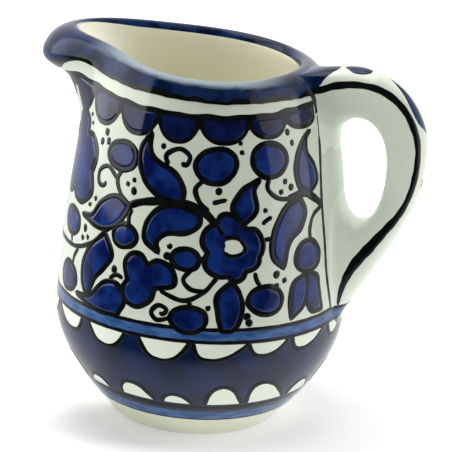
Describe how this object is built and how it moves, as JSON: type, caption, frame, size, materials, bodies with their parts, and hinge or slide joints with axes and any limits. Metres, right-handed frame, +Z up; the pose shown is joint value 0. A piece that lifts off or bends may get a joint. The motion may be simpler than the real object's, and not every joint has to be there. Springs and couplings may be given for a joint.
{
  "type": "milk jug",
  "caption": "Small glazed ceramic milk jug with a round belly, a low foot, a pulled spout, a looped handle and blue and black painted ornament on white.",
  "frame": {"origin": "on the jug's axis, in the plane that the foot stands on", "axes": "+Z up, spout towards -X, handle towards +X, +Y across the jug"},
  "size_m": [0.1186, 0.088, 0.1152],
  "materials": {
    "white_glaze": "glossy",
    "cream_glaze": "glossy",
    "cobalt_blue": "glossy",
    "black_line": "glossy",
    "bare_clay": "satin",
    "joining_slip": "satin"
  },
  "bodies": {
    "root": {"foot_ring": "bare_clay", "base_floor": "white_glaze", "belly_bowl": "white_glaze", "shoulder_wall": "white_glaze", "neck_and_spout": "white_glaze", "handle": "white_glaze", "upper_slip_joint": "joining_slip", "lower_slip_joint": "joining_slip", "inner_glaze": "cream_glaze"}
  },
  "joints": []
}
